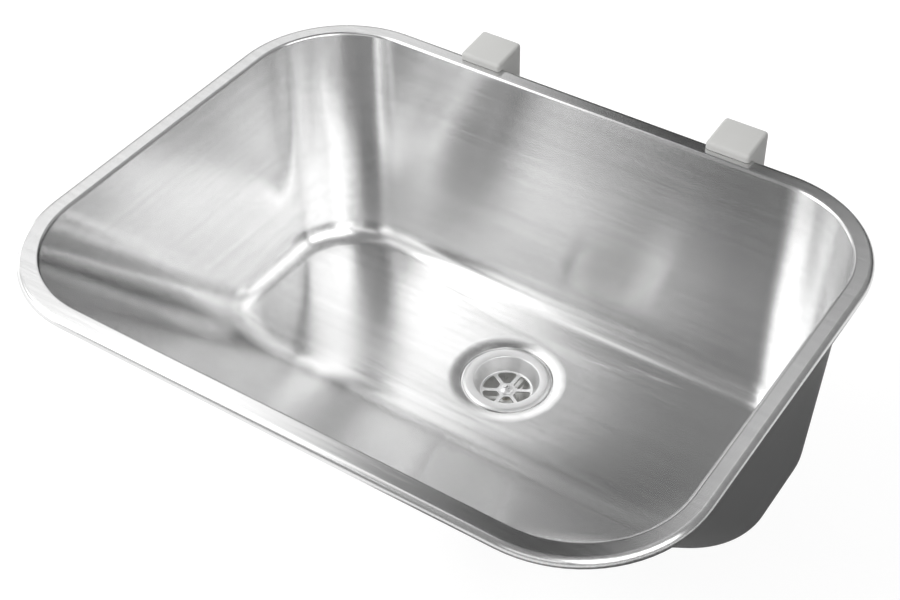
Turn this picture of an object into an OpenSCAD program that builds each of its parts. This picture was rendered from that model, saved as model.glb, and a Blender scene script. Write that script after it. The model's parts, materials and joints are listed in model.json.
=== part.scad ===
// Deep single-bowl sink with a sloping front, a recessed waste and two sliding rim clips.
// Origin: centre of the rim, on the flat top of the flange. +X right, +Y to the wall, +Z up.

/* [Rim] */
// Length of the rim from end to end
rim_length = 520; // [480:5:600]
// Width of the rim from front to rear
rim_width = 400; // [380:5:460]
// Plan radius of the rim's outer corners
rim_corner_r = 92; // [70:1:105]
// Width of the flange from the bowl's edge to the outside of the lip
flange_width = 15; // [13:0.5:20]
// Height of the turned-down lip, from the flange's top to its lower edge
lip_height = 5.5; // [4.5:0.25:8]
// Outer radius of the bend from the flange into the lip
lip_bend_r = 2; // [1.5:0.25:2.5]
// Radius of the roll between the flange and the bowl's walls
edge_roll_r = 2.5; // [1.75:0.25:4]
// Thickness of the steel sheet
sheet_t = 1; // [0.8:0.1:1.2]

/* [Bowl] */
// Depth from the flange's top to the floor's edge
bowl_depth = 198; // [170:2:208]
// Angle of the side walls from the vertical
side_draft = 3; // [1:0.5:6]
// Angle of the rear wall from the vertical
rear_draft = 4; // [1:0.5:6]
// Where the floor starts, measured to the rear from the rim's centre line
floor_front_y = 20; // [0:1:30]
// Radius between the upright walls and the floor
floor_fillet_r = 18; // [12:1:24]
// Radius of the knee between the sloping front and the floor
knee_r = 40; // [25:1:50]
// Plan radius of the rear corners where they reach the floor
rear_corner_floor_r = 66; // [50:1:75]
// Plan radius of the front corners where they reach the floor
front_corner_floor_r = 62; // [50:1:75]
// Fall of the floor from its edge to the waste recess
floor_fall = 2; // [1:0.5:5]

/* [Waste recess] */
// Distance of the waste from the rim's centre line, to the rear
waste_y = 84; // [78:1:90]
// Radius where the pressed recess starts
recess_r = 50; // [46:1:54]
// Depth of the pressed recess
recess_depth = 3; // [2:0.5:5]
// Radius of the recess's flat seat
seat_r = 38; // [37:0.5:40]
// Diameter of the hole in the bowl
waste_hole_d = 60; // [58:0.5:61]

/* [Strainer] */
// Diameter of the waste flange
flange_d = 70; // [68:0.5:72]
// Thickness of the waste flange
flange_t = 1; // [0.8:0.1:1.2]
// Width of the sloping edge round the waste flange
flange_bevel = 2.2; // [1.5:0.1:2.6]
// Diameter of the recess in the waste flange, at its mouth
cup_mouth_d = 51.4; // [50:0.2:53]
// Diameter of the star plate at the bottom of the recess
star_d = 42.4; // [40:0.2:44]
// Depth of the star plate below the waste flange
star_depth = 12; // [9:0.5:14]
// Width of a spoke at its narrowest
spoke_w = 3; // [2.5:0.25:4]
// Radius of the star's hub
hub_r = 6.5; // [5.5:0.25:7.5]
// Corner radius of the star's openings
petal_corner_r = 2; // [1:0.25:2.5]

/* [Waste body] */
// Thickness of the ring between the waste flange and the bowl
flange_gasket_t = 1; // [0.5:0.25:2]
// Thickness of the ring under the bowl
body_gasket_t = 3; // [2:0.5:4]
// Diameter of the waste body's top flange
body_flange_d = 72; // [70:0.5:75]
// Outer diameter of the cup
body_cup_d = 62; // [60:0.5:64]
// Wall thickness of the waste body
body_wall = 2.5; // [2:0.25:3]
// Thickness of the waste body's top flange
body_flange_t = 4; // [3:0.5:5]
// Depth of the cup, down to its cone
cup_depth = 20; // [18:1:26]
// Height of the cone below the cup
cone_h = 11; // [9:1:16]
// Length of the outlet below the cone
outlet_length = 26; // [22:1:34]
// Depth of the narrow throat above the pipe's socket
throat_h = 6; // [4:1:8]
// Width of the three ribs that carry the hub
rib_w = 3; // [2:0.5:4]
// Depth of the three ribs
rib_h = 4; // [3:0.5:5]
// Diameter of the brass insert
insert_d = 10; // [9:0.5:11]
// Height of the brass insert
insert_h = 10; // [8:0.5:11]
// Gap between the star plate and the hub that the screw pulls on
hub_gap = 6; // [4:0.5:7]
// Outer diameter of the outlet thread
outlet_thread_d = 47.8; // [47:0.1:48.5]
// Outer diameter of the tail pipe
pipe_d = 40; // [38:0.5:40]
// Wall thickness of the tail pipe
pipe_wall = 1.8; // [1.5:0.1:2.2]
// Length of the tail pipe below its stop collar
pipe_free = 40; // [30:1:80]
// Height of the stop collar on the tail pipe
pipe_collar_h = 2; // [1.5:0.5:3]
// How far the stop collar stands out
pipe_collar_out = 1.5; // [1:0.25:2]
// Diameter of the screw's thread
screw_d = 6; // [5:0.5:6]
// Diameter of the screw's head
screw_head_d = 10.4; // [9:0.2:11]
// Height of the screw's head
screw_head_h = 2.6; // [2.2:0.1:3]

/* [Coupling nut] */
// Height of the coupling nut
nut_h = 25; // [22:1:30]
// Wall thickness of the coupling nut
nut_wall = 3; // [2.5:0.25:4]
// Thickness of the nut's inner lip
nut_lip_t = 3; // [2:0.5:4]
// Number of grip ribs on the nut
nut_ribs = 12; // [8:1:20]
// How far a grip rib stands out
nut_rib_out = 2; // [1:0.5:3]
// Width of a grip rib
nut_rib_w = 4; // [3:0.5:5]
// Thickness of the cone ring between the outlet and the nut's lip
washer_t = 5; // [4:0.5:6]
// How far the cone ring's nose reaches up into the outlet
washer_nose = 3.4; // [2:0.2:4]

/* [Rim clips] */
// Width of a clip along the rim
clip_w = 35.4; // [30:0.2:45]
// Height of a clip above the flange
clip_above = 9; // [7:0.5:12]
// How far a clip stands out behind the rim
clip_behind = 25; // [20:0.5:35]
// How far a clip reaches forward over the flange
clip_reach = 9.5; // [7:0.5:11]
// Height of a clip below the flange's top
clip_below = 26; // [20:1:40]
// Radius of a clip's outer edges
clip_edge_r = 3; // [2:0.5:4]
// Wall thickness of a clip
clip_wall = 3; // [2:0.25:4]
// How far a clip's jaw reaches under the lip
clip_jaw = 5; // [3:0.25:6]
// Height of the barb on the jaw
clip_barb = 1.5; // [1:0.25:2]
// Position of the left clip along the rim
clip_left_x = -95; // [-150:1:-40]
// Position of the right clip along the rim
clip_right_x = 117; // [40:1:150]

/* [Sound pads] */
// Thickness of the sound pads
pad_t = 2; // [1.5:0.5:4]
// Length of the front pad along the bowl
pad_front_length = 260; // [200:10:300]
// Width of the front pad up the slope
pad_front_width = 110; // [80:5:130]
// Length of the rear pad along the bowl
pad_rear_length = 220; // [160:10:260]
// Height of the rear pad
pad_rear_height = 90; // [60:5:110]
// Depth of the front pad's middle below the rim
pad_front_drop = 96; // [80:2:110]
// Depth of the rear pad's middle below the rim
pad_rear_drop = 92; // [75:2:105]
// Corner radius of the pads
pad_corner_r = 8; // [3:1:15]

/* [Fits] */
// Thickness of the glue between a sound pad and the bowl
glue_t = 0.05; // [0.02:0.01:0.1]
// Gap between a clip and the rim all round
clip_clear = 0.2; // [0.1:0.05:0.4]
// Radial gap between the outlet thread and the coupling nut
thread_clear = 0.15; // [0.05:0.05:0.3]
// Radial gap between the tail pipe and its socket
pipe_clear = 0.3; // [0.1:0.05:0.5]
// Gap between the coupling nut and the pipe's stop collar
collar_gap = 0.5; // [0.3:0.1:1]
// Radial gap round the screw in the star's hub
screw_clear = 0.3; // [0.1:0.05:0.5]

/* [Hidden] */
$fn = 96;
corner_steps = 12;
side_steps = 6;
open_x = rim_length / 2 - flange_width;
open_y = rim_width / 2 - flange_width;
open_r = rim_corner_r - flange_width;
floor_z = -bowl_depth;
// Angle of the sloping front from the vertical: it touches the knee, which ends where the
// floor starts
slope_run = open_y + floor_front_y;
slope_fall = bowl_depth - knee_r;
front_slope = acos(knee_r / norm([slope_run, slope_fall])) - atan2(slope_fall, slope_run);
recess_z = floor_z - floor_fall;
seat_z = recess_z - recess_depth;
hole_r = waste_hole_d / 2;
// Waste stack, from the flange's top down
flange_top_z = seat_z + flange_gasket_t + flange_t;
flange_drop = flange_gasket_t - 0.2;
star_top_z = flange_top_z - star_depth;
body_top_z = seat_z - sheet_t - body_gasket_t;
cup_floor_z = body_top_z - cup_depth;
throat_z = cup_floor_z - cone_h;
outlet_end_z = throat_z - outlet_length;
socket_r = pipe_d / 2 + pipe_clear;
socket_top_z = throat_z - throat_h;
cup_r = body_cup_d / 2;
outlet_r = outlet_thread_d / 2;
insert_r = insert_d / 2;
hub_top_z = star_top_z - flange_t - hub_gap;
insert_top_z = hub_top_z - 1;
hub_end_z = insert_top_z - insert_h - 2;
nut_end_z = outlet_end_z - washer_t - nut_lip_t;
nut_top_z = nut_end_z + nut_h;
pipe_top_z = socket_top_z - throat_h / 3;
collar_top_z = nut_end_z - collar_gap;
pipe_end_z = collar_top_z - pipe_collar_h - pipe_free;
steel = [0.78, 0.79, 0.8];
polished = [0.88, 0.88, 0.89];
clip_grey = [0.76, 0.76, 0.75];
black = [0.08, 0.08, 0.08];
body_white = [0.84, 0.84, 0.82];
brass = [0.75, 0.6, 0.3];
pad_black = [0.12, 0.12, 0.12];

// ---- Bowl: one sheet, described by rings from the waste hole out to the lip and back ----

// Outward distance of a wall from the bowl's edge, at height z. a is the wall's angle from the
// vertical, rf its radius at the floor, and off is 0 on the inside and sheet_t on the outside.
function roll_x(a) = edge_roll_r * tan((90 - a) / 2);
function roll_end_z(a, off) = -edge_roll_r + (edge_roll_r - off) * sin(a);
function fillet_cz(rf) = floor_z + rf;
function fillet_cx(a, rf) = fillet_cz(rf) * tan(a) - rf / cos(a);
function fillet_z(a, rf, off) = fillet_cz(rf) - (rf + off) * sin(a);
function arc_w(r, d) = sqrt(max(0, r * r - d * d));
function wall_x(z, a, rf, off) =
    z > roll_end_z(a, off) ? roll_x(a) - arc_w(edge_roll_r - off, z + edge_roll_r)
    : z > fillet_z(a, rf, off) ? z * tan(a) + off / cos(a)
    : fillet_cx(a, rf) + arc_w(rf + off, z - fillet_cz(rf));

// A ring is a rounded rectangle with its own front and rear: corner arcs joined by straight runs
function arc_pts(cx, cy, r, a0) =
    [for (i = [0:corner_steps]) [cx + r * cos(a0 + 90 * i / corner_steps),
                                 cy + r * sin(a0 + 90 * i / corner_steps)]];
function run_pts(p, q) = [for (j = [1:side_steps - 1]) p + (q - p) * j / side_steps];
function ring_xy(x, y1, y0, r1, r0) =
    let (rr = arc_pts(x - r1, y1 - r1, r1, 0),
         rl = arc_pts(r1 - x, y1 - r1, r1, 90),
         fl = arc_pts(r0 - x, y0 + r0, r0, 180),
         fr = arc_pts(x - r0, y0 + r0, r0, 270))
    concat(rr, run_pts(rr[corner_steps], rl[0]),
           rl, run_pts(rl[corner_steps], fl[0]),
           fl, run_pts(fl[corner_steps], fr[0]),
           fr, run_pts(fr[corner_steps], rr[0]));
function lift(pts, z) = [for (p = pts) [p[0], p[1], z]];

// Ring of the bowl's wall at height z
function wall_ring(z, off) =
    let (xs = wall_x(z, side_draft, floor_fillet_r, off),
         line = z * tan(side_draft),
         rear_r = open_r + (open_r - rear_corner_floor_r) * z / bowl_depth + xs - line,
         front_r = open_r + (open_r - front_corner_floor_r) * z / bowl_depth + xs - line)
    lift(ring_xy(open_x + xs,
                 open_y + wall_x(z, rear_draft, floor_fillet_r, off),
                 -open_y - wall_x(z, front_slope, knee_r, off),
                 rear_r, front_r), z);

// Ring of the flange or lip, a distance d outside the bowl's edge
function rim_ring(d, z) =
    lift(ring_xy(open_x + d, open_y + d, -open_y - d, open_r + d, open_r + d), z);

// Round ring about the waste, with as many points as the others
around = 4 * (corner_steps + side_steps);
function round_ring(r, z) =
    [for (i = [0:around - 1])
        let (a = 45 + (i - corner_steps / 2) * 360 / around)
        [r * cos(a), waste_y + r * sin(a), z]];

// Ring of the floor: s runs from 0 at the floor's edge to 1 at the waste recess
function floor_ring(s, off) =
    let (edge = wall_ring(floor_z - off, off),
         recess = round_ring(recess_r, 0),
         z = floor_z - floor_fall * s * s - off)
    [for (i = [0:around - 1])
        [edge[i][0] + (recess[i][0] - edge[i][0]) * s,
         edge[i][1] + (recess[i][1] - edge[i][1]) * s, z]];

// Ring of the waste recess: an S-shaped step from the floor down to the flat seat
function recess_ring(s, off) =
    round_ring(recess_r + (seat_r - recess_r) * s,
               recess_z - recess_depth * s * s * (3 - 2 * s) - off);
function hole_ring(z) = round_ring(hole_r - 3, z);

function roll_levels(off) =
    [for (i = [0:5]) -edge_roll_r + (edge_roll_r - off) * cos((90 - side_draft) * i / 5)];
function wall_levels(off) =
    let (top = roll_end_z(side_draft, off), low = fillet_z(side_draft, floor_fillet_r, off))
    [for (i = [1:2]) top + (low - top) * i / 3];
function fillet_levels(off) =
    [for (i = [0:9]) fillet_cz(floor_fillet_r)
        - (floor_fillet_r + off) * sin(side_draft + (90 - side_draft) * i / 9)];
function bend_rings(r) =
    [for (i = [0:5]) rim_ring(flange_width - lip_bend_r + r * sin(18 * i),
                              -lip_bend_r + r * cos(18 * i))];

// From the hole's edge inside, up the bowl, over the rim, and back down the outside
function skin_up(off) = concat(
    [for (s = [1, 0.8, 0.6, 0.4, 0.2]) recess_ring(s, off)],
    [for (s = [1, 0.75, 0.5, 0.25]) floor_ring(s, off)],
    [for (i = [9:-1:0]) wall_ring(fillet_levels(off)[i], off)],
    [for (i = [1:-1:0]) wall_ring(wall_levels(off)[i], off)],
    [for (i = [5:-1:0]) wall_ring(roll_levels(off)[i], off)]);
function reversed(v) = [for (i = [len(v) - 1:-1:0]) v[i]];
function sheet_rings() = concat(
    [hole_ring(seat_z)],
    skin_up(0),
    bend_rings(lip_bend_r),
    [rim_ring(flange_width, -lip_height), rim_ring(flange_width - sheet_t, -lip_height)],
    reversed(bend_rings(lip_bend_r - sheet_t)),
    reversed(skin_up(sheet_t)),
    [hole_ring(seat_z - sheet_t)]);

module closed_skin(rings) {
    count = len(rings);
    pts = [for (r = rings) each r];
    faces = [for (k = [0:count - 1]) for (i = [0:around - 1])
        let (a = k * around + i,
             b = k * around + (i + 1) % around,
             c = ((k + 1) % count) * around + (i + 1) % around,
             d = ((k + 1) % count) * around + i)
        each [[a, b, c], [a, c, d]]];
    polyhedron(points = pts, faces = faces, convexity = 10);
}

module at_waste() {
    translate([0, waste_y, 0]) children();
}

module bowl() {
    color(steel)
    difference() {
        closed_skin(sheet_rings());
        at_waste()
        translate([0, 0, seat_z - sheet_t - 5])
        cylinder(h = recess_depth + sheet_t + 5, r = hole_r);
    }
}

// ---- Rim clips: a moulded channel round the flange and lip, cored from below ----

module rounded_rect(x0, y0, x1, y1, r) {
    translate([x0 + r, y0]) square([x1 - x0 - 2 * r, y1 - y0]);
    translate([x0, y0 + r]) square([x1 - x0, y1 - y0 - 2 * r]);
    for (x = [x0 + r, x1 - r], y = [y0 + r, y1 - r])
        translate([x, y]) circle(r = r);
}

// Side outline: y across, z up, with the slot that takes the flange and its lip
module clip_outline() {
    edge_y = rim_width / 2;
    lip_in_y = edge_y - sheet_t;
    tongue_y = edge_y - clip_reach;
    difference() {
        rounded_rect(edge_y - clip_reach, -clip_below, edge_y + clip_behind, clip_above,
                     clip_edge_r);
        // the flange
        translate([tongue_y - 1, -sheet_t - clip_clear])
        square([clip_reach + 1 + clip_clear, sheet_t + 2 * clip_clear]);
        // the lip, held from the front by a low barb on the jaw
        translate([lip_in_y - clip_clear, -lip_height - clip_clear])
        square([sheet_t + 2 * clip_clear, lip_height + clip_clear]);
        translate([tongue_y - 1, -lip_height - clip_clear + clip_barb])
        square([clip_reach + 1, lip_height + clip_clear - clip_barb]);
        // in front of the jaw and below it
        translate([tongue_y - 1, -lip_height - clip_wall - clip_clear])
        square([clip_reach - clip_jaw, lip_height + clip_wall]);
        translate([tongue_y - 1, -clip_below - 1])
        square([clip_reach + 1.2, clip_below + 1 - lip_height - clip_wall - clip_clear]);
    }
}

module rim_clip(x) {
    edge_y = rim_width / 2;
    color(clip_grey)
    translate([x, 0, 0])
    difference() {
        intersection() {
            translate([-clip_w / 2, 0, 0])
            rotate([90, 0, 90])
            linear_extrude(height = clip_w) clip_outline();
            translate([0, edge_y + clip_behind + 1, 0])
            rotate([90, 0, 0])
            linear_extrude(height = clip_behind + clip_reach + 2)
            rounded_rect(-clip_w / 2, -clip_below, clip_w / 2, clip_above, clip_edge_r);
            translate([0, 0, -clip_below - 1])
            linear_extrude(height = clip_below + clip_above + 2)
            rounded_rect(-clip_w / 2, edge_y - clip_reach, clip_w / 2, edge_y + clip_behind,
                         clip_edge_r);
        }
        // core
        translate([-clip_w / 2 + clip_wall, edge_y + clip_wall, -clip_below - 1])
        cube([clip_w - 2 * clip_wall, clip_behind - 2 * clip_wall,
              clip_below + clip_above - clip_wall + 1]);
    }
}

module rim_clip_left() {
    rim_clip(clip_left_x);
}

module rim_clip_right() {
    rim_clip(clip_right_x);
}

// ---- Waste ----

// One opening of the star: a wedge with rounded corners between two spokes
module petal() {
    r = petal_corner_r;
    r_in = hub_r + 1 + r;
    r_out = star_d / 2 - 1.8 - r;
    // the spoke's side, moved in by the corner radius
    side = spoke_w / 2 + r;
    u_in = sqrt(r_in * r_in - side * side);
    u_out = sqrt(r_out * r_out - side * side);
    function on_side(u, v, s) = [u * cos(30) + v * sin(30), s * (u * sin(30) - v * cos(30))];
    inner = on_side(u_in, side, 1);
    outer = on_side(u_out, side, 1);
    push = r * [sin(-30), cos(-30)];
    // wedge between the two spokes, square across at the hub
    polygon([[inner[0] - r, inner[1]], inner, inner + push, outer + push, outer,
             [outer[0], -outer[1]], [outer[0] + push[0], -outer[1] - push[1]],
             [inner[0] + push[0], -inner[1] - push[1]], [inner[0], -inner[1]],
             [inner[0] - r, -inner[1]]]);
    // rounded corners
    for (p = [inner, outer], s = [-1, 1])
        translate([p[0], s * p[1]]) circle(r = r, $fn = 32);
    // round outer side
    intersection() {
        circle(r = r_out + r);
        polygon([[outer[0], -outer[1]], [1.3 * outer[0], -1.3 * outer[1]],
                 [1.3 * outer[0], 1.3 * outer[1]], outer]);
    }
}

module strainer_flange() {
    edge = flange_d / 2;
    mouth = cup_mouth_d / 2;
    star = star_d / 2;
    z0 = flange_top_z;
    z1 = star_top_z;
    t = flange_t;
    color(polished)
    at_waste()
    difference() {
        rotate_extrude()
        polygon([[0, z1 - t], [star + 0.6, z1 - t], [mouth + 1, z0 - t - 1.2],
                 [mouth + 2, z0 - t], [edge - flange_bevel + 0.2, z0 - t],
                 [edge - 0.6, z0 - t - flange_drop], [edge, z0 - t - flange_drop],
                 [edge, z0 - flange_drop], [edge - flange_bevel, z0],
                 [mouth + 0.8, z0], [mouth, z0 - 0.8],
                 [star, z1 + 0.6], [star - 0.6, z1], [0, z1]]);
        for (k = [0:5])
            rotate([0, 0, 60 * k])
            translate([0, 0, z1 - t - 1])
            linear_extrude(height = t + 2) petal();
        translate([0, 0, z1 - t - 1])
        cylinder(h = t + 2, r = screw_d / 2 + screw_clear);
    }
}

module strainer_screw() {
    head_r = screw_head_d / 2;
    z = star_top_z;
    cross_l = head_r;
    cross_w = head_r / 5;
    color(polished)
    at_waste()
    difference() {
        union() {
            rotate_extrude()
            polygon([[0, z], [head_r, z], [head_r, z + 0.4 * screw_head_h],
                     [0.87 * head_r, z + 0.75 * screw_head_h],
                     [0.6 * head_r, z + screw_head_h], [0, z + screw_head_h]]);
            translate([0, 0, hub_end_z])
            cylinder(h = z + screw_head_h / 4 - hub_end_z, r = screw_d / 2);
        }
        for (a = [0, 90])
            rotate([0, 0, a + 15])
            translate([-cross_l / 2, -cross_w / 2, z + screw_head_h / 3])
            cube([cross_l, cross_w, screw_head_h]);
    }
}

module ring(r_out, r_in, z0, z1) {
    translate([0, 0, z0])
    difference() {
        cylinder(h = z1 - z0, r = r_out);
        translate([0, 0, -1]) cylinder(h = z1 - z0 + 2, r = r_in);
    }
}

module flange_gasket() {
    color(black)
    at_waste()
    ring(flange_d / 2 - flange_bevel - 0.2, hole_r + 0.4, seat_z, seat_z + flange_gasket_t);
}

module body_gasket() {
    color(black)
    at_waste()
    ring(body_flange_d / 2 + 0.5, hole_r + 0.8, body_top_z, seat_z - sheet_t);
}

module waste_body() {
    w = body_wall;
    throat_r = pipe_d / 2 - pipe_wall;
    color(body_white)
    at_waste()
    union() {
        rotate_extrude()
        polygon([[socket_r, outlet_end_z + washer_nose + 0.6], [socket_r, socket_top_z],
                 [throat_r, socket_top_z], [throat_r, throat_z],
                 [cup_r - w - 0.6, cup_floor_z], [cup_r - w, body_top_z],
                 [body_flange_d / 2, body_top_z],
                 [body_flange_d / 2, body_top_z - body_flange_t],
                 [cup_r, body_top_z - body_flange_t], [cup_r - 0.6, cup_floor_z],
                 [outlet_r, throat_z - 2], [outlet_r, outlet_end_z],
                 [socket_r + 2, outlet_end_z]]);
        // hub for the thread insert, on three ribs
        difference() {
            union() {
                translate([0, 0, hub_end_z])
                cylinder(h = hub_top_z - hub_end_z, r = insert_r + w);
                for (k = [0:2])
                    rotate([0, 0, 120 * k + 90])
                    translate([0, -rib_w / 2, hub_top_z - 2 - rib_h])
                    cube([cup_r - 0.6 * w, rib_w, rib_h]);
            }
            translate([0, 0, hub_end_z - 1])
            cylinder(h = hub_top_z - hub_end_z + 2, r = screw_d / 2 + screw_clear);
            translate([0, 0, insert_top_z - insert_h])
            cylinder(h = insert_h + 3, r = insert_r);
        }
    }
}

module thread_insert() {
    color(brass)
    at_waste()
    difference() {
        ring(insert_r, screw_d / 2, insert_top_z - insert_h, insert_top_z);
        ring(insert_r + 1, insert_r - 0.4, insert_top_z - insert_h / 2 - 0.6,
             insert_top_z - insert_h / 2 + 0.6);
    }
}

module coupling_nut() {
    r_out = outlet_r + thread_clear + nut_wall;
    color(body_white)
    at_waste()
    union() {
        ring(r_out, outlet_r + thread_clear, nut_end_z, nut_top_z);
        ring(r_out, socket_r + pipe_clear, nut_end_z, nut_end_z + nut_lip_t);
        for (k = [0:nut_ribs - 1])
            rotate([0, 0, 360 * k / nut_ribs])
            translate([r_out - 0.3 * nut_wall, -nut_rib_w / 2, nut_end_z])
            cube([nut_rib_out + 0.3 * nut_wall, nut_rib_w, nut_h - 2]);
    }
}

module taper_washer() {
    r_in = pipe_d / 2;
    color(black)
    at_waste()
    rotate_extrude()
    polygon([[r_in, outlet_end_z - washer_t], [outlet_r - 0.4, outlet_end_z - washer_t],
             [outlet_r - 0.4, outlet_end_z], [socket_r + 2, outlet_end_z],
             [r_in + 0.6, outlet_end_z + washer_nose], [r_in, outlet_end_z + washer_nose]]);
}

module tail_pipe() {
    color(body_white)
    at_waste()
    union() {
        ring(pipe_d / 2, pipe_d / 2 - pipe_wall, pipe_end_z, pipe_top_z);
        ring(pipe_d / 2 + pipe_collar_out, pipe_d / 2 - pipe_wall / 2,
             collar_top_z - pipe_collar_h, collar_top_z);
    }
}

// ---- Sound pads ----

module sound_pad_front() {
    color(pad_black)
    translate([0, pad_front_drop * tan(front_slope) - open_y, -pad_front_drop])
    rotate([front_slope - 90, 0, 0])
    translate([-pad_front_length / 2, -pad_front_width / 2, -sheet_t - glue_t - pad_t])
    linear_extrude(height = pad_t)
    rounded_rect(0, 0, pad_front_length, pad_front_width, pad_corner_r);
}

module sound_pad_rear() {
    color(pad_black)
    translate([0, open_y - pad_rear_drop * tan(rear_draft), -pad_rear_drop])
    rotate([90 - rear_draft, 0, 0])
    translate([-pad_rear_length / 2, -pad_rear_height / 2, -sheet_t - glue_t - pad_t])
    linear_extrude(height = pad_t)
    rounded_rect(0, 0, pad_rear_length, pad_rear_height, pad_corner_r);
}

bowl();
rim_clip_left();
rim_clip_right();
strainer_flange();
strainer_screw();
flange_gasket();
body_gasket();
waste_body();
thread_insert();
coupling_nut();
taper_washer();
tail_pipe();
sound_pad_front();
sound_pad_rear();
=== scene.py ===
# %% [markdown]
# # A deep steel sink with a sloping front
#
# The CAD model fixes every size and place. This lesson dresses it for a photograph: a camera
# at the photograph's angle, a finer pressed-steel bowl, moulded rim clips, a pressed waste
# flange, a finish for every piece, and studio light that steel can mirror.

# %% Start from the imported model
import json
from math import sin, cos, tan, acos, atan2, sqrt, pi, radians, hypot

import bmesh
import bpy
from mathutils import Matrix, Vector

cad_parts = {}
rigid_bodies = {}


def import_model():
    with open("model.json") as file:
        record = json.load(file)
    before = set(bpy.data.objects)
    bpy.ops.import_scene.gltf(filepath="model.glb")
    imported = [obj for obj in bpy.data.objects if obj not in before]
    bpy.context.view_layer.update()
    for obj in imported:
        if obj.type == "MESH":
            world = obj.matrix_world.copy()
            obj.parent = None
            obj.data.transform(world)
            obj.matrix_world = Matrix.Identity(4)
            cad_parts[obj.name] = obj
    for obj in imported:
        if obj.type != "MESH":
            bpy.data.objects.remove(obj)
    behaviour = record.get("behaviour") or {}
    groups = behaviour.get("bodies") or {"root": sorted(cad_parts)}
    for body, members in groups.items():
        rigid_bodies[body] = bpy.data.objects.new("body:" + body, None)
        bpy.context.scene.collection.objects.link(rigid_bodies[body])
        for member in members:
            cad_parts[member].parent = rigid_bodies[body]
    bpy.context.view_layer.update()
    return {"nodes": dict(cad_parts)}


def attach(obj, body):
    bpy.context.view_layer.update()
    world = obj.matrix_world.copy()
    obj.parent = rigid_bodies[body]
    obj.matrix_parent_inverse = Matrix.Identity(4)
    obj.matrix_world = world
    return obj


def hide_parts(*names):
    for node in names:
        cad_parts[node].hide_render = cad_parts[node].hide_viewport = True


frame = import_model()
nodes = frame["nodes"]
MM = 0.001
print("pieces from the CAD model:", ", ".join(sorted(nodes)))


# %% [markdown]
# ## Small helpers
#
# An operator works on what is selected, so the first helpers clear the selection before a
# new primitive is added, or select one object alone. The others pick points by their place in
# edit mode, carve one object out of another, and put a finished piece on the body that it
# moves with.

# %% Helpers
def deselect():
    if bpy.context.object and bpy.context.object.mode != "OBJECT":
        bpy.ops.object.mode_set(mode="OBJECT")
    bpy.ops.object.select_all(action="DESELECT")


def choose(obj):
    deselect()
    bpy.context.view_layer.objects.active = obj
    obj.select_set(True)


def named(name):
    """Names the new primitive and puts its place into its mesh."""
    obj = bpy.context.object
    obj.name = obj.data.name = name
    bpy.ops.object.transform_apply(location=True, rotation=True, scale=True)
    return obj


def edit(obj):
    choose(obj)
    bpy.ops.object.mode_set(mode="EDIT")
    bpy.ops.mesh.select_all(action="DESELECT")


def mesh_now():
    return bmesh.from_edit_mesh(bpy.context.object.data)


def pick(test, kind="verts"):
    """Selects what passes the test and isn't hidden, in the mesh being edited."""
    bpy.ops.mesh.select_mode(type=kind[:-1].upper())
    bpy.ops.mesh.select_all(action="DESELECT")
    bm = mesh_now()
    found = [part for part in getattr(bm, kind) if not part.hide and test(part)]
    for part in found:
        part.select_set(True)
    bmesh.update_edit_mesh(bpy.context.object.data)


def modify(obj, kind, **settings):
    """Adds a modifier with its settings and applies it."""
    choose(obj)
    mod = obj.modifiers.new(kind.title(), kind)
    for key, value in settings.items():
        setattr(mod, key, value)
    bpy.ops.object.modifier_apply(modifier=mod.name)


def carve(obj, tool):
    modify(obj, "BOOLEAN", operation="DIFFERENCE", solver="EXACT", object=tool)
    bpy.data.objects.remove(tool)


def smooth(obj, angle):
    choose(obj)
    bpy.ops.object.shade_smooth_by_angle(angle=radians(angle))


def place(obj, body, node):
    """The piece moves with its body, and stands for the CAD node."""
    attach(obj, body)
    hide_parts(node)
    axes = [[v.co[i] / MM for v in obj.data.vertices] for i in range(3)]
    print(obj.name, len(obj.data.polygons), "faces,",
          " x ".join(f"{max(axis) - min(axis):.1f}" for axis in axes), "mm")


# %% [markdown]
# ## The camera
#
# A product photographer stands in front, to the right, and above, with a longish lens. The
# place, turn and lens below were found by matching the rim's outline in the photograph.

# %% Camera
camera = bpy.data.cameras.new("camera")
camera.lens, camera.sensor_width = 66.737, 36
camera.clip_end = 20
view = bpy.data.objects.new("camera", camera)
view.location = (0.4902, -0.7112, 0.7400)
view.rotation_euler = [radians(a) for a in (47.5081, 0.7666, 33.6386)]
bpy.context.scene.collection.objects.link(view)
bpy.context.scene.camera = view
bpy.context.scene.view_settings.view_transform = "Standard"
print(f"camera with a {camera.lens:.1f} mm lens, {view.location.length:.2f} m from the origin")

# %% [markdown]
# ## The bowl: how a sheet is described
#
# A real bowl is pressed from one steel sheet, so every wall, roll and radius flows into the
# next. It could be a box with bevelled edges, but its corners grow tighter towards the floor
# and its front leans back at 43 degrees, which one bevel can't follow. So the bowl is lofted:
# horizontal loops with the same number of points are sewn to each other, from the hole in
# the floor up to the lip.

# %% The bowl's sizes, in millimetres
OPEN_X, OPEN_Y, OPEN_R = 245, 185, 77             # half the opening, and its corners
FLANGE, BEND_R, LIP, ROLL_R, SHEET = 15, 4.5, 5.5, 2.5, 1
DEPTH, SIDE, REAR = 198, radians(3), radians(4)   # the side and rear walls lean out
FILLET_R, KNEE_R = 18, 40                         # where walls and sloping front meet the floor
REAR_FLOOR_R, FRONT_FLOOR_R = 66, 62              # the floor's corners
FLOOR_START, FLOOR_FALL = 20, 2                   # behind the centre line, and to the recess
WASTE_Y, RECESS_R, RECESS_Z = 84, 50, -DEPTH - FLOOR_FALL
HOLE_R, SEAT_R, SEAT_Z, STEP = 30, 36.2, -203, 1.3
out, down = OPEN_Y + FLOOR_START, DEPTH - KNEE_R
FRONT = acos(KNEE_R / hypot(out, down)) - atan2(down, out)
CORNER, STRAIGHT = 20, 12                         # edges in a corner and in a straight run
AROUND = 4 * (CORNER + STRAIGHT)
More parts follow.
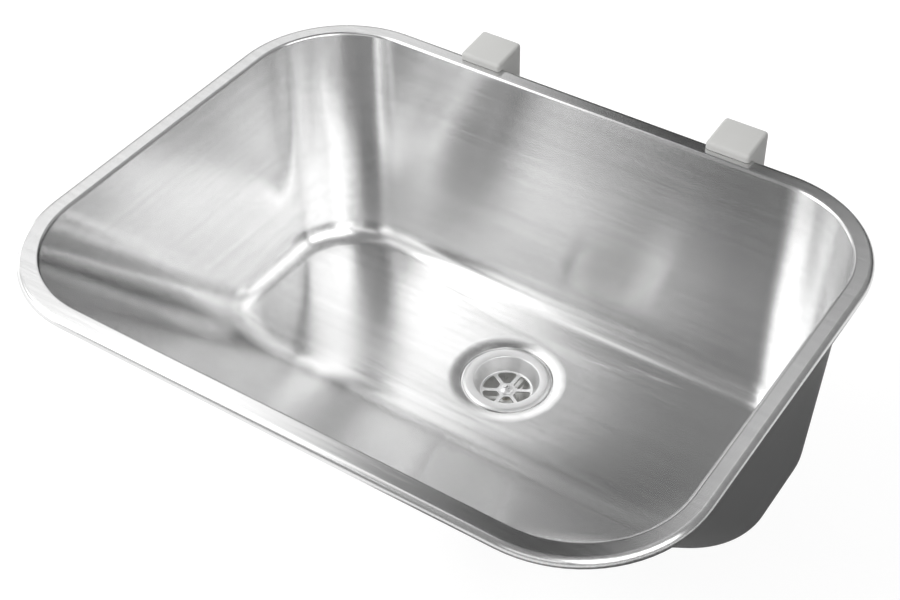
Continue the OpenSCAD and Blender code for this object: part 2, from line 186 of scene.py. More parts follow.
print(f"front leans {FRONT * 180 / pi:.1f} degrees, {AROUND} points in a loop")


# %% How far a wall stands out at each height
def wall_x(z, lean, floor_r):
    """Roll at the top, straight wall, then the radius at the floor."""
    centre = floor_r - DEPTH
    if z > -ROLL_R + ROLL_R * sin(lean):
        return ROLL_R * tan((pi / 2 - lean) / 2) - sqrt(ROLL_R**2 - (z + ROLL_R)**2)
    if z > centre - floor_r * sin(lean):
        return z * tan(lean)
    drop = sqrt(max(0, floor_r**2 - (z - centre)**2))
    return centre * tan(lean) - floor_r / cos(lean) + drop


# %% [markdown]
# ## One loop
#
# Each loop starts as a plane. Two vertex bevels round its rear and front corners, its face
# is taken away, and its four straight runs are divided, so all loops have the same points.
# A sewn loop is marked as a seam, which is how the next step finds the open end.

# %% Add a loop, and sew it to the last one
def loop(z, half_x, rear_y, front_y, rear_r, front_r, cuts=0):
    mid = (rear_y + front_y) / 2
    bpy.ops.mesh.select_all(action="SELECT")
    bpy.ops.mesh.hide()
    bpy.ops.mesh.primitive_plane_add(size=2, location=(0, mid * MM, z * MM))
    bpy.ops.transform.resize(value=(half_x * MM, (rear_y - front_y) / 2 * MM, 1),
                             center_override=(0, mid * MM, z * MM))
    for end, r in ((1, rear_r), (-1, front_r)):
        pick(lambda v: abs(v.co.x) > half_x * MM - 1e-6
             and end * (v.co.y - mid * MM) > (rear_y - front_y) / 2 * MM - 1e-6)
        bpy.ops.mesh.bevel(offset=r * MM, segments=CORNER, affect="VERTICES")
    bpy.ops.mesh.select_all(action="SELECT")
    bpy.ops.mesh.delete(type="ONLY_FACE")
    longest = sorted((e.calc_length() for e in mesh_now().edges if not e.hide))[-4]
    pick(lambda e: e.calc_length() > longest - 1e-7, "edges")
    bpy.ops.mesh.subdivide(number_cuts=STRAIGHT - 1)
    sew(cuts)


def round_loop(r, z):
    bpy.ops.mesh.select_all(action="SELECT")
    bpy.ops.mesh.hide()
    bpy.ops.mesh.primitive_circle_add(vertices=AROUND, radius=r * MM,
                                      location=(0, WASTE_Y * MM, z * MM))
    sew()


def sew(cuts=0):
    bpy.ops.mesh.reveal(select=False)
    bpy.ops.mesh.select_mode(type="EDGE")
    bm = mesh_now()
    open_end = [e for e in bm.edges if e.seam]
    for e in bm.edges:
        e.select_set(e.seam or e.is_wire)
        e.seam = e.is_wire
    bmesh.update_edit_mesh(bpy.context.object.data)
    if open_end:
        bpy.ops.mesh.bridge_edge_loops(number_cuts=cuts, interpolation="LINEAR")


# %% [markdown]
# ## The floor and the walls
#
# The sewing starts at the waste hole. A small step round the waste's seat hides beside its
# flange, and the recess then rises ever more gently until it meets the floor, so no ring
# shows. The floor falls two millimetres towards it, and the walls rise through a radius of
# 18 mm, or 40 mm at the knee of the sloping front.

# %% Waste hole, seat, step and recess
STEP_RUN, FOOT_RUN, FOOT_RISE = 0.7, 1, 0.1       # from the seat's edge, and above the step
FADE_LOOPS, FADE_POWER = 10, 2.8                  # a higher power meets the floor more gently
deselect()
bpy.ops.mesh.primitive_circle_add(vertices=AROUND, radius=HOLE_R * MM,
                                  location=(0, WASTE_Y * MM, SEAT_Z * MM))
bowl = named("steel_bowl")
edit(bowl)
bpy.ops.mesh.select_all(action="SELECT")
bpy.ops.mesh.extrude_edges_move()
bpy.ops.transform.resize(value=(SEAT_R / HOLE_R, SEAT_R / HOLE_R, 1),
                         center_override=(0, WASTE_Y * MM, SEAT_Z * MM))
bpy.ops.mesh.mark_seam()
round_loop(SEAT_R + STEP_RUN, SEAT_Z + STEP)
wide, high = RECESS_R - SEAT_R - FOOT_RUN, RECESS_Z - SEAT_Z - STEP - FOOT_RISE
for i in range(FADE_LOOPS):
    share = 1 - i / (FADE_LOOPS - 1)
    round_loop(RECESS_R - wide * share, RECESS_Z - high * share**FADE_POWER)
print("points in the recess:", len(mesh_now().verts))


# %% Floor, its radius, walls and roll
FLOOR_CUTS, FILLET_STEPS, WALL_STEPS, ROLL_STEPS = 6, 16, 4, 8


def wall_loop(z, cuts=0):
    out = wall_x(z, SIDE, FILLET_R)
    more = out - z * tan(SIDE)
    loop(z, OPEN_X + out, OPEN_Y + wall_x(z, REAR, FILLET_R),
         -OPEN_Y - wall_x(z, FRONT, KNEE_R),
         OPEN_R + (OPEN_R - REAR_FLOOR_R) * z / DEPTH + more,
         OPEN_R + (OPEN_R - FRONT_FLOOR_R) * z / DEPTH + more, cuts)


wall_loop(-DEPTH, FLOOR_CUTS)
for v in mesh_now().verts:
    share = (-DEPTH * MM - v.co.z) / (FLOOR_FALL * MM)
    if 0 < share < 1 and hypot(v.co.x, v.co.y - WASTE_Y * MM) > RECESS_R * MM:
        v.co.z = -(DEPTH + FLOOR_FALL * share**2) * MM
for i in range(FILLET_STEPS - 1, -1, -1):
    angle = SIDE + (pi / 2 - SIDE) * i / FILLET_STEPS
    wall_loop(FILLET_R - DEPTH - FILLET_R * sin(angle))
roll_end = -ROLL_R + ROLL_R * sin(SIDE)
low = FILLET_R - DEPTH - FILLET_R * sin(SIDE)
for i in range(1, WALL_STEPS):
    wall_loop(low + (roll_end - low) * i / WALL_STEPS)
for i in range(ROLL_STEPS, 0, -1):
    wall_loop(-ROLL_R + ROLL_R * cos((pi / 2 - SIDE) * i / ROLL_STEPS))
print("points up to the roll:", len(mesh_now().verts))

# %% [markdown]
# ## Rim and lip
#
# The roll ends in a flat flange. Its outer edge is bent down into a short lip, which makes
# the thin rim stiff. Two loops close to the bends keep the flange's shading flat. The sheet
# gets its millimetre of thickness last, outwards, so the inside keeps its sizes.


# %% Flange, bend and lip
HOLD, BEND_STEPS = 0.5, 12                        # from a bend to the loop that holds it


def rim_loop(d, z):
    loop(z, OPEN_X + d, OPEN_Y + d, -OPEN_Y - d, OPEN_R + d, OPEN_R + d)


def flat_loop(plus):
    """A loop of the roll's plan shape, moved out on the flat flange."""
    side = wall_x(0, SIDE, FILLET_R) + plus
    loop(0, OPEN_X + side, OPEN_Y + wall_x(0, REAR, FILLET_R) + plus,
         -OPEN_Y - wall_x(0, FRONT, KNEE_R) - plus, OPEN_R + side, OPEN_R + side)


flat_loop(0)
flat_loop(HOLD)
rim_loop(FLANGE - BEND_R - HOLD, 0)
for i in range(BEND_STEPS + 1):
    angle = pi / 2 * i / BEND_STEPS
    rim_loop(FLANGE - BEND_R + BEND_R * sin(angle), -BEND_R + BEND_R * cos(angle))
rim_loop(FLANGE, -LIP)
bpy.ops.mesh.select_all(action="SELECT")
bpy.ops.mesh.mark_seam(clear=True)
bpy.ops.mesh.normals_make_consistent(inside=False)
top_face = max(mesh_now().faces, key=lambda f: f.calc_center_median().z)
print("the flange faces up:", top_face.normal.z > 0)
if top_face.normal.z < 0:
    bpy.ops.mesh.flip_normals()
bpy.ops.object.mode_set(mode="OBJECT")
modify(bowl, "SOLIDIFY", thickness=SHEET * MM, offset=-1, use_even_offset=True, use_rim=True)
smooth(bowl, 40)
place(bowl, "sink", "bowl")


# %% [markdown]
# ## Rim clips
#
# Each clip is one moulding, pushed over the rear rim. It could be extruded from its side
# outline, but then its outer edges would stay sharp. A block with all its edges rounded, and
# then carved for the rim, the jaw and the hollow core, is closer to a moulded part. Its top
# slopes down to the front, and the channel that takes the rim follows the rim's bend.

# %% A block, for a clip and for boxes to carve it with
def block(name, low, high):
    """A box from its low to its high corner, in millimetres."""
    deselect()
    middle = [(a + b) / 2 * MM for a, b in zip(low, high)]
    bpy.ops.mesh.primitive_cube_add(size=1, location=middle)
    bpy.ops.transform.resize(value=[(b - a) * MM for a, b in zip(low, high)])
    return named(name)


# %% An arc's points, and a cutter pulled out from an outline
def arc(across, up, r, start, end, steps=5):
    angles = [radians(start + (end - start) * i / steps) for i in range(steps + 1)]
    return [(across + r * cos(angle), up + r * sin(angle)) for angle in angles]


def cutter(points, pull):
    """An outline of (x, y, z) points, pulled out along a way; both in millimetres."""
    deselect()
    bpy.ops.mesh.primitive_circle_add(vertices=len(points), radius=0.01, fill_type="NGON")
    obj = named("cutter")
    for v, point in zip(obj.data.vertices, points):
        v.co = [c * MM for c in point]
    edit(obj)
    bpy.ops.mesh.select_all(action="SELECT")
    bpy.ops.mesh.extrude_region_move(TRANSFORM_OT_translate={"value": [c * MM for c in pull]})
    bpy.ops.mesh.select_all(action="SELECT")
    bpy.ops.mesh.normals_make_consistent(inside=False)
    bpy.ops.object.mode_set(mode="OBJECT")
    return obj


# %% Carve and finish a clip
CLIP_W, REACH, BEHIND, BELOW = 35.4, 8.3, 25, 26  # over the rim, behind it and below it
ABOVE, FRONT_ABOVE = 9, 6.2                       # the top's height at the rear and the front
WALL, JAW, BARB, GAP = 3, 5, 1.5, 0.2
ROUND, SOFT = 3, 0.15                             # outer edges, and edges that are carved
RIM_Y = OPEN_Y + FLANGE


def rim_clip(side, x):
    left, right = x - CLIP_W / 2, x + CLIP_W / 2
    low_jaw = -LIP - WALL - GAP
    clip = block(f"moulded_clip_{side}", (left, RIM_Y - REACH, -BELOW),
                 (right, RIM_Y + BEHIND, ABOVE))
    edit(clip)
    pick(lambda v: v.co.z > 0 and v.co.y < RIM_Y * MM)
    bpy.ops.transform.translate(value=(0, 0, (FRONT_ABOVE - ABOVE) * MM))
    bpy.ops.object.mode_set(mode="OBJECT")
    modify(clip, "BEVEL", width=ROUND * MM, segments=6, limit_method="NONE")
    x0, x1, y0, z0 = x - CLIP_W, x + CLIP_W, RIM_Y - REACH - 1, -BELOW - 1
    tip, under = RIM_Y - SHEET - GAP, -LIP - GAP
    channel = ([(y0, GAP)] + arc(RIM_Y - BEND_R, -BEND_R, BEND_R + GAP, 90, 0, 8)
               + [(RIM_Y + GAP, under), (tip, under), (tip, under + BARB), (y0, under + BARB)])
    carve(clip, cutter([(x0, y, z) for y, z in channel], (x1 - x0, 0, 0)))
    for low, high in (
            ((x0, y0, low_jaw), (x1, y0 + REACH - JAW, -SHEET)),
            ((x0, y0, z0), (x1, RIM_Y + GAP, low_jaw)),
            ((left + WALL, RIM_Y + WALL, z0), (right - WALL, RIM_Y + BEHIND - WALL, ABOVE - WALL))):
        carve(clip, block("cutter", low, high))
    modify(clip, "BEVEL", width=SOFT * MM, segments=1, limit_method="ANGLE",
           angle_limit=radians(50))
    smooth(clip, 35)
    place(clip, f"{side}_clip", f"rim_clip_{side}")
    return clip


clips = [rim_clip("left", -95), rim_clip("right", 117)]

# %% [markdown]
# ## The waste flange
#
# One pressing: a flat ring with a sloping outer edge, a round recess, and a star plate at its
# bottom. It is round, so its section is drawn once and spun about the waste's centre, and the
# six openings are then carved between the spokes.

# %% Spin a section about the waste's centre
def turned(name, section, steps=128):
    """section: (radius, height) points in millimetres; a closed line is spun once round."""
    deselect()
    bpy.ops.mesh.primitive_circle_add(vertices=len(section), radius=0.001)
    obj = named(name)
    edit(obj)
    bm = mesh_now()
    bm.verts.ensure_lookup_table()
    for v, (r, z) in zip(bm.verts, section):
        v.co = (r * MM, WASTE_Y * MM, z * MM)
    bmesh.update_edit_mesh(obj.data)
    bpy.ops.mesh.select_all(action="SELECT")
    bpy.ops.mesh.spin(steps=steps, angle=2 * pi, center=(0, WASTE_Y * MM, 0), axis=(0, 0, 1))
    bpy.ops.mesh.select_all(action="SELECT")
    bpy.ops.mesh.remove_doubles(threshold=1e-6)
    bpy.ops.mesh.dissolve_degenerate(threshold=1e-6)
    bpy.ops.mesh.select_all(action="SELECT")
    bpy.ops.mesh.normals_make_consistent(inside=False)
    bpy.ops.object.mode_set(mode="OBJECT")
    return obj


# %% The flange's section, softened at its edges
FLANGE_TOP, STAR_TOP = -201, -213
MOUTH_R, STAR_R, EDGE_R = 25.7, 21.2, 35          # the recess at its top and bottom, the ring
THICK, HANG, MOUTH_ROUND, FOOT_ROUND = 1, 1.8, 1, 0.9

under, hem = FLANGE_TOP - THICK, FLANGE_TOP - HANG
section = ([(0, STAR_TOP - THICK), (STAR_R + 0.6, STAR_TOP - THICK), (MOUTH_R + 1, under - 1.2),
            (MOUTH_R + 2, under), (EDGE_R - 2, under), (EDGE_R - 0.6, hem), (EDGE_R, hem)]
           + arc(EDGE_R - 0.35, under, 0.35, 0, 60, 3)
           + arc(EDGE_R - 2.5, FLANGE_TOP - 0.8, 0.8, 68, 90, 4)
           + arc(MOUTH_R + MOUTH_ROUND, FLANGE_TOP - MOUTH_ROUND, MOUTH_ROUND, 90, 170)
           + arc(STAR_R - FOOT_ROUND, STAR_TOP + FOOT_ROUND, FOOT_ROUND, -10, -90)
           + [(0, STAR_TOP)])
waste = turned("polished_waste_flange", section)
print("section points:", len(section))


# %% Cutters about the waste's centre
def punch(outline, low, high):
    """An outline of (x, y) points about the waste's centre, pulled up from low to high."""
    return cutter([(x, WASTE_Y + y, low) for x, y in outline], (0, 0, high - low))


def turn(points, degrees):
    c, s = cos(radians(degrees)), sin(radians(degrees))
    return [(x * c - y * s, x * s + y * c) for x, y in points]


# %% Six rounded openings between the spokes, and the screw's hole
SPOKE_W, PETAL_R, PETAL_IN, PETAL_OUT = 3, 2, 7.5, STAR_R - 1.8
SPOKES, SCREW_HOLE_R, STAR_EDGE = 6, 3.3, 0.22
off = SPOKE_W / 2 + PETAL_R
inner, outer = turn([(sqrt(q * q - off * off), -off)
                     for q in (PETAL_IN + PETAL_R, PETAL_OUT - PETAL_R)], 30)
lean = atan2(outer[1], outer[0]) * 180 / pi
petal = (arc(*outer, PETAL_R, lean, 120) + arc(*inner, PETAL_R, 120, 180)
         + arc(inner[0], -inner[1], PETAL_R, 180, 240)
         + arc(outer[0], -outer[1], PETAL_R, 240, 360 - lean)
         + arc(0, 0, PETAL_OUT, -lean, lean, 12)[1:-1])
openings = [turn(petal, 360 / SPOKES * k) for k in range(SPOKES)]
for outline in openings + [arc(0, 0, SCREW_HOLE_R, 0, 348, 29)]:
    carve(waste, punch(outline, STAR_TOP - 2, STAR_TOP + 1))
modify(waste, "BEVEL", width=STAR_EDGE * MM, segments=2, limit_method="ANGLE",
       angle_limit=radians(60))
smooth(waste, 40)
place(waste, "sink", "strainer_flange")

# %% [markdown]
# ## The waste's screw
#
# A low domed head with a cross recess, and a plain shank below it. It is spun from its
# section, and a cross is carved out of the head.

# %% Screw
HEAD_R, HEAD_H, SHANK_R, SHANK_END = 5.2, 2.6, 3, -233
DOME, DOME_POWER, DOME_STEPS = 1.5, 2.2, 6        # the head's edge lies so much lower
shares = [i / DOME_STEPS for i in range(DOME_STEPS, -1, -1)]
dome = [(HEAD_R * s, STAR_TOP + HEAD_H - DOME * s**DOME_POWER) for s in shares]
screw = turned("waste_screw", [(0, SHANK_END), (SHANK_R - 0.6, SHANK_END),
                               (SHANK_R, SHANK_END + 0.8), (SHANK_R, STAR_TOP),
                               (HEAD_R - 0.2, STAR_TOP), (HEAD_R, STAR_TOP + 0.25)] + dome, 64)
arm = [(-2.7, -0.35), (-1.2, -0.62), (1.2, -0.62), (2.7, -0.35),
       (2.7, 0.35), (1.2, 0.62), (-1.2, 0.62), (-2.7, 0.35)]
for angle in (15, 105):
    carve(screw, punch(turn(arm, angle), STAR_TOP + HEAD_H / 3, STAR_TOP + 4))
smooth(screw, 35)
place(screw, "sink", "strainer_screw")

# %% [markdown]
# ## The pieces under the floor
#
# The waste's body, nut, gaskets and pipe already have the right shape in the CAD model, but
# their edges are as sharp as in a drawing. Moulded edges are a little round, and that
# roundness catches the light. Modelling each again would repeat the CAD model, so each mesh
# is copied, its loose triangles are merged, and its sharp edges get a small bevel.


# %% Copy a CAD piece and round its edges
def softened(node, width_mm):
    choose(nodes[node])
    bpy.ops.object.duplicate()
    obj = bpy.context.object
    bpy.ops.object.parent_clear(type="CLEAR_KEEP_TRANSFORM")
    for key in list(obj.keys()):
        del obj[key]
    obj.name = obj.data.name = "soft_edged_" + node
    edit(obj)
    bpy.ops.mesh.select_all(action="SELECT")
    bpy.ops.mesh.remove_doubles(threshold=2e-6)
    bpy.ops.mesh.tris_convert_to_quads(face_threshold=radians(0.5), shape_threshold=pi)
    bpy.ops.object.mode_set(mode="OBJECT")
    modify(obj, "BEVEL", width=width_mm * MM, segments=2, limit_method="ANGLE",
           angle_limit=radians(50))
    smooth(obj, 32)
    place(obj, "sink", node)
    return obj


under_floor = {node: softened(node, width) for node, slot, width in (
    ("waste_body", "white_plastic", 0.4), ("coupling_nut", "white_plastic", 0.5),
    ("tail_pipe", "white_plastic", 0.3), ("flange_gasket", "black_rubber", 0.15),
    ("body_gasket", "black_rubber", 0.5), ("taper_washer", "black_rubber", 0.2),
    ("thread_insert", "brass", 0.2), ("sound_pad_front", "pad_rubber", 0.5),
    ("sound_pad_rear", "pad_rubber", 0.5))}

# %% [markdown]
# ## Finishes: the helpers
#
# Colours are written as the hex value that a picture editor shows, and one function turns
# them into the linear numbers that Blender mixes. Another adds one node with its settings
# and links, and the last puts a finish on a piece.

# %% Colour and node helpers
def linear(hex_colour):
    parts = [int(hex_colour[i:i + 2], 16) / 255 for i in (1, 3, 5)]
    return [c / 12.92 if c <= 0.04045 else ((c + 0.055) / 1.055)**2.4 for c in parts] + [1]


def add(owner, kind, inputs=None, **settings):
    """One node of a material or a world. Its inputs map a socket's name or number to a value
    or to another node's output."""
    node = owner.node_tree.nodes.new(kind)
    for key, value in settings.items():
        setattr(node, key, value)
    for key, value in (inputs or {}).items():
        if isinstance(value, bpy.types.NodeSocket):
            owner.node_tree.links.new(value, node.inputs[key])
        else:
            node.inputs[key].default_value = value
    return node


def new_material(name):
    mat = bpy.data.materials.new(name)
    mat.use_nodes = True
    mat.node_tree.nodes.clear()
    return mat


def finish_with(mat, shader):
    add(mat, "ShaderNodeOutputMaterial", {"Surface": shader.outputs[0]})
    return mat


def wear(obj, mat):
    obj.data.materials.clear()
    obj.data.materials.append(mat)
    print(obj.name, "wears", mat.name)


# %% [markdown]
# ## Satin brushed stainless steel
#
# Sheet steel for sinks is ground with a fine belt along its length, which leaves thousands of
# scratches side by side. They spread a highlight across the grain and keep it sharp along
# it, so the shader is anisotropic, and its tangent is the level direction on every wall.
# Real scratches are about 0.05 mm apart. They are drawn 1.2 mm apart and 60 mm long, which is
# as coarse as they need to be to show, and they change roughness and height only a little.
# Broad faint streaks, 6 mm apart and 300 mm long, stand for the belt's uneven passes.

# %% Brushed steel: direction of the grain
steel = new_material("satin_brushed_stainless")
where = add(steel, "ShaderNodeTexCoord")
shape = add(steel, "ShaderNodeNewGeometry")
level = add(steel, "ShaderNodeVectorMath", {0: shape.outputs["True Normal"], 1: (0, 0, 1)},
            operation="CROSS_PRODUCT")
# On the floor this product is nothing, so a small push along X decides the grain there.
pushed = add(steel, "ShaderNodeVectorMath", {0: level.outputs[0], 1: (0.06, 0, 0)},
             operation="ADD")
grain_way = add(steel, "ShaderNodeVectorMath", {0: pushed.outputs[0]}, operation="NORMALIZE")

# %% Brushed steel: lines along X, and along Y on the side walls
facing = add(steel, "ShaderNodeSeparateXYZ", {0: shape.outputs["True Normal"]})
sideways = add(steel, "ShaderNodeMath", {0: facing.outputs["X"]}, operation="ABSOLUTE")
on_side_wall = add(steel, "ShaderNodeMapRange", {"Value": sideways.outputs[0],
                                                 "From Min": 0.6, "From Max": 0.85})


def lines(gap, length):
    """Noise drawn out along the grain; gap and length in millimetres."""
    tight, loose = 1000 / gap, 1000 / length
    ways = []
    for scale in ((loose, tight, tight), (tight, loose, tight)):
        drawn = add(steel, "ShaderNodeMapping", {"Vector": where.outputs["Object"], "Scale": scale})
        ways.append(add(steel, "ShaderNodeTexNoise", {"Vector": drawn.outputs[0], "Scale": 1.0,
                                                      "Detail": 4.0, "Roughness": 0.6}))
    return add(steel, "ShaderNodeMix", {0: on_side_wall.outputs[0], 2: ways[0].outputs["Fac"],
                                        3: ways[1].outputs["Fac"]})


scratches, bands = lines(1.2, 60), lines(6, 300)
# Soft clouds about 110 mm across.
cloud = add(steel, "ShaderNodeTexNoise", {"Vector": where.outputs["Object"], "Scale": 9.0,
                                          "Detail": 2.0})

# %% Brushed steel: tone, roughness and height
streaks = add(steel, "ShaderNodeMapRange", {"Value": bands.outputs[0], "From Min": 0.35,
                                            "From Max": 0.65, "To Max": 0.28})
scratched = add(steel, "ShaderNodeMix", {0: scratches.outputs[0], 6: linear("#DCDCDC"),
                                         7: linear("#E8E8E8")}, data_type="RGBA")
tone = add(steel, "ShaderNodeMix", {0: streaks.outputs[0], 6: scratched.outputs[2],
                                    7: linear("#CACACA")}, data_type="RGBA")
ground = add(steel, "ShaderNodeMapRange", {"Value": scratches.outputs[0], "From Min": 0.3,
                                           "From Max": 0.7, "To Min": 0.19, "To Max": 0.23})
rough = add(steel, "ShaderNodeMath", {0: cloud.outputs["Fac"], 1: 0.03, 2: ground.outputs[0]},
            operation="MULTIPLY_ADD")
wave = add(steel, "ShaderNodeBump", {"Height": bands.outputs[0], "Distance": 0.05 * MM})
bump = add(steel, "ShaderNodeBump", {"Height": scratches.outputs[0], "Strength": 0.25,
                                     "Distance": 0.03 * MM, "Normal": wave.outputs[0]})

# %% Brushed steel: the shader
skin = add(steel, "ShaderNodeBsdfPrincipled", {
    "Base Color": tone.outputs[2], "Metallic": 1.0, "Roughness": rough.outputs[0],
    "Anisotropic": 0.85, "Anisotropic Rotation": 0.25, "Tangent": grain_way.outputs[0],
    "Normal": bump.outputs[0]})
wear(bowl, finish_with(steel, skin))

# %% [markdown]
# ## Satin pressed stainless steel
#
# The waste flange and its screw are pressed and lightly buffed. They aren't ground like the
# bowl, so they have no grain: their highlight is soft and even, over faint rings 2 mm apart.

# %% Pressed steel, for the waste
pressed = new_material("satin_pressed_stainless")
where = add(pressed, "ShaderNodeTexCoord")
centred = add(pressed, "ShaderNodeMapping", {"Vector": where.outputs["Object"],
                                             "Location": (0, -WASTE_Y * MM, 0)})
rings = add(pressed, "ShaderNodeTexWave", {"Vector": centred.outputs[0], "Scale": 160.0,
                                           "Distortion": 0.6, "Detail": 2.0},
            wave_type="RINGS", rings_direction="Z")
haze = add(pressed, "ShaderNodeTexNoise", {"Vector": where.outputs["Object"], "Scale": 60.0})
rough = add(pressed, "ShaderNodeMapRange", {"Value": haze.outputs["Fac"],
                                            "To Min": 0.36, "To Max": 0.46})
bump = add(pressed, "ShaderNodeBump", {"Height": rings.outputs["Fac"], "Strength": 0.05,
                                       "Distance": 0.02 * MM})
tone = add(pressed, "ShaderNodeMix", {0: haze.outputs["Fac"], 6: linear("#E4E4E4"),
                                      7: linear("#EEEEEE")}, data_type="RGBA")
skin = add(pressed, "ShaderNodeBsdfPrincipled", {
    "Base Color": tone.outputs[2], "Metallic": 1.0, "Roughness": rough.outputs[0],
    "Normal": bump.outputs[0]})
finish_with(pressed, skin)
wear(waste, pressed)
wear(screw, pressed)

# %% [markdown]
# ## Moulded plastics and rubbers
#
# The clips are grey moulded polypropylene with a fine sparked grain. The waste's body, nut and
# pipe are white polypropylene, smoother, with faint flow marks. Gaskets are moulded EPDM
# rubber, and the sound pads are pressed bitumen felt. They differ in colour, in gloss, and in
# the size and height of their grain, so one recipe takes those as its settings. The insert in
# the waste's hub is turned brass under a thin coat of nickel, so it has a recipe of its own.


# %% Recipe for a moulded material
def moulded(name, dark, light, gloss, grain_mm, height_mm, stretch=(1, 1, 1)):
    """Two hex tones in clouds 25 mm across; gloss is the mean roughness, 0 for a mirror."""
    mat = new_material(name)
    where = add(mat, "ShaderNodeTexCoord")
    placed = add(mat, "ShaderNodeMapping", {"Vector": where.outputs["Object"], "Scale": stretch})
    fine = add(mat, "ShaderNodeTexNoise", {"Vector": placed.outputs[0], "Scale": 1000 / grain_mm,
                                           "Detail": 3.0})
    broad = add(mat, "ShaderNodeTexNoise", {"Vector": placed.outputs[0], "Scale": 40.0,
                                            "Detail": 2.0})
    tone = add(mat, "ShaderNodeMix", {0: broad.outputs["Fac"], 6: linear(dark),
                                      7: linear(light)}, data_type="RGBA")
    rough = add(mat, "ShaderNodeMapRange", {"Value": fine.outputs["Fac"],
                                            "To Min": gloss - 0.06, "To Max": gloss + 0.06})
    bump = add(mat, "ShaderNodeBump", {"Height": fine.outputs["Fac"], "Strength": 0.6,
                                       "Distance": height_mm * MM})
    return finish_with(mat, add(mat, "ShaderNodeBsdfPrincipled", {
        "Base Color": tone.outputs[2], "Roughness": rough.outputs[0],
        "Normal": bump.outputs[0], "IOR": 1.49}))


# %% Moulded finishes
grey_plastic = moulded("grey_sparked_polypropylene", "#BEBEBC", "#C6C6C4", 0.5, 0.7, 0.04)
white_plastic = moulded("white_moulded_polypropylene", "#ECECEA", "#F2F2F0", 0.36, 1.6, 0.02,
                        (1, 1, 0.3))
rubber = moulded("black_moulded_epdm", "#161616", "#1F1F1F", 0.7, 0.8, 0.05)
felt = moulded("pressed_bitumen_felt", "#242423", "#363533", 0.85, 1.4, 0.25)

# %% Nickel-plated brass, with turning marks 0.6 mm apart
brass = new_material("nickel_plated_brass")
where = add(brass, "ShaderNodeTexCoord")
lathe = add(brass, "ShaderNodeTexWave", {"Vector": where.outputs["Object"], "Scale": 500.0},
            bands_direction="Z")
bump = add(brass, "ShaderNodeBump", {"Height": lathe.outputs["Fac"], "Strength": 0.3,
                                     "Distance": 0.05 * MM})
finish_with(brass, add(brass, "ShaderNodeBsdfPrincipled", {
    "Base Color": linear("#C4BEB2"), "Metallic": 1.0, "Roughness": 0.28,
    "Normal": bump.outputs[0]}))

# %% The clips and the pieces under the floor put on their finishes
for clip in clips:
    wear(clip, grey_plastic)
for node, mat in (("waste_body", white_plastic), ("coupling_nut", white_plastic),
                  ("tail_pipe", white_plastic), ("flange_gasket", rubber),
                  ("body_gasket", rubber), ("taper_washer", rubber), ("thread_insert", brass),
                  ("sound_pad_front", felt), ("sound_pad_rear", felt)):
    wear(under_floor[node], mat)

# %% [markdown]
# ## The studio
#
# Steel has hardly any colour of its own: it shows what stands round it. A photographer
# therefore builds a room of white and black cards and looks at their mirror images in the
# steel. The same is done here. A dark tent stands round the sink, with soft white cards and
# dark flags in front of it, and a dark sheet under the sink is painted shadow, standing for
# the sink's own shadow on the floor. Only mirror rays see them, so the plastics are lit by
# the world and by two lamps, and the camera sees a plain white paper and its faint shadow.


# %% The world: white for the camera, for mirror images and for glass, softer as a light
def seen_by_eye(owner):
    """1 for camera, mirror and glass rays, and 0 for the light that a surface gathers."""
    ray = add(owner, "ShaderNodeLightPath")
    sharp = add(owner, "ShaderNodeMath", {0: ray.outputs["Is Camera Ray"],
                                          1: ray.outputs["Is Glossy Ray"]}, operation="ADD")
    return add(owner, "ShaderNodeMath", {0: sharp.outputs[0],
                                         1: ray.outputs["Is Transmission Ray"]},
               operation="ADD", use_clamp=True)


SOFT_LIGHT = 0.52
world = bpy.data.worlds.new("white_studio")
bpy.context.scene.world = world
world.use_nodes = True
world.cycles.sampling_method = "NONE"
strength = add(world, "ShaderNodeMapRange", {"Value": seen_by_eye(world).outputs[0],
                                             "To Min": SOFT_LIGHT})
sky = world.node_tree.nodes["Background"]
sky.inputs["Color"].default_value = (1, 1, 1, 1)
world.node_tree.links.new(strength.outputs[0], sky.inputs["Strength"])
print("the world is seen at strength 1 and lights surfaces at", SOFT_LIGHT)


# %% What only mirror rays see
def for_mirrors_only(obj):
    obj.visible_camera = obj.visible_diffuse = obj.visible_shadow = False
    obj.visible_transmission = obj.visible_volume_scatter = False


def glow(name, strength, fade):
    """A card's light: even in the middle, fading out at its edges when fade is above 0."""
    mat = new_material(name)
    mat.cycles.emission_sampling = "NONE"
    light = add(mat, "ShaderNodeEmission", {"Strength": strength})
    if not fade:
        return finish_with(mat, light)
    spot = add(mat, "ShaderNodeTexCoord")
    centred = add(mat, "ShaderNodeVectorMath", {0: spot.outputs["UV"], 1: (0.5, 0.5, 0)},
                  operation="SUBTRACT")
    away = add(mat, "ShaderNodeVectorMath", {0: centred.outputs[0]}, operation="ABSOLUTE")
    parts = add(mat, "ShaderNodeSeparateXYZ", {0: away.outputs[0]})
    nearest = add(mat, "ShaderNodeMath", {0: parts.outputs["X"], 1: parts.outputs["Y"]},
                  operation="MAXIMUM")
    full = add(mat, "ShaderNodeMapRange", {"Value": nearest.outputs[0], "From Min": 0.5,
                                           "From Max": 0.5 - fade / 2},
               interpolation_type="SMOOTHSTEP")
    clear = add(mat, "ShaderNodeBsdfTransparent")
    return finish_with(mat, add(mat, "ShaderNodeMixShader", {
        0: full.outputs[0], 1: clear.outputs[0], 2: light.outputs[0]}))


# %% A card, which fades out over the outer quarter of its half width and height
FADE = 0.25


